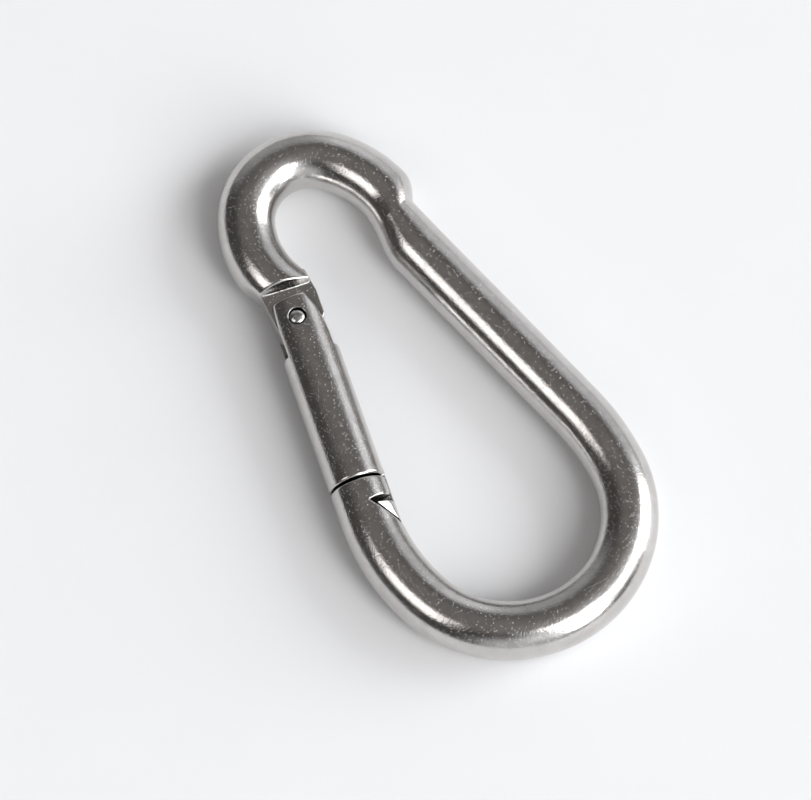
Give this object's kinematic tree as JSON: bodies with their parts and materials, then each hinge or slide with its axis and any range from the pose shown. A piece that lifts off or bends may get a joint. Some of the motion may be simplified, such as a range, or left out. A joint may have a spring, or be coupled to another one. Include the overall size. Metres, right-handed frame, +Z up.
{
  "type": "carbine hook",
  "caption": "Pear-shaped steel spring hook with a small eye bow, a large load bow and a sprung gate that swings inward on a rivet and shuts against a notched nose.",
  "frame": {"origin": "centre of the footprint, on the plane the hook lies on", "axes": "+Y along the hook's length towards the small bow, +X from the gate side to the spine side, +Z up through the bar's thickness"},
  "size_m": [0.0414, 0.0837, 0.008],
  "materials": {
    "body_steel": "polished",
    "gate_steel": "polished",
    "rivet_steel": "polished",
    "plunger_steel": "turned",
    "spring_steel": "drawn wire"
  },
  "bodies": {
    "hook": {"hook_body": "body_steel"},
    "gate_arm": {"gate": "gate_steel", "hinge_rivet": "rivet_steel", "spring": "spring_steel"},
    "gate_plunger": {"plunger": "plunger_steel"}
  },
  "joints": [
    {"name": "gate_hinge", "type": "hinge", "parent": "hook", "child": "gate_arm", "pos_m": [-0.00962, 0.01678, 0.004], "axis": [0, 0, 1], "range_deg": [0, 31.5], "stiffness_Nm_per_rad": 0.7, "springref_deg": -12.61},
    {"name": "plunger_slide", "type": "slide", "parent": "gate_arm", "child": "gate_plunger", "axis": [-0.227, -0.9739, 0], "range_m": [0, 0.0007], "deforming": ["spring"]}
  ],
  "couplings": [
    {"joint": "plunger_slide", "follows": "gate_hinge", "m_per_rad": 0.0012}
  ]
}
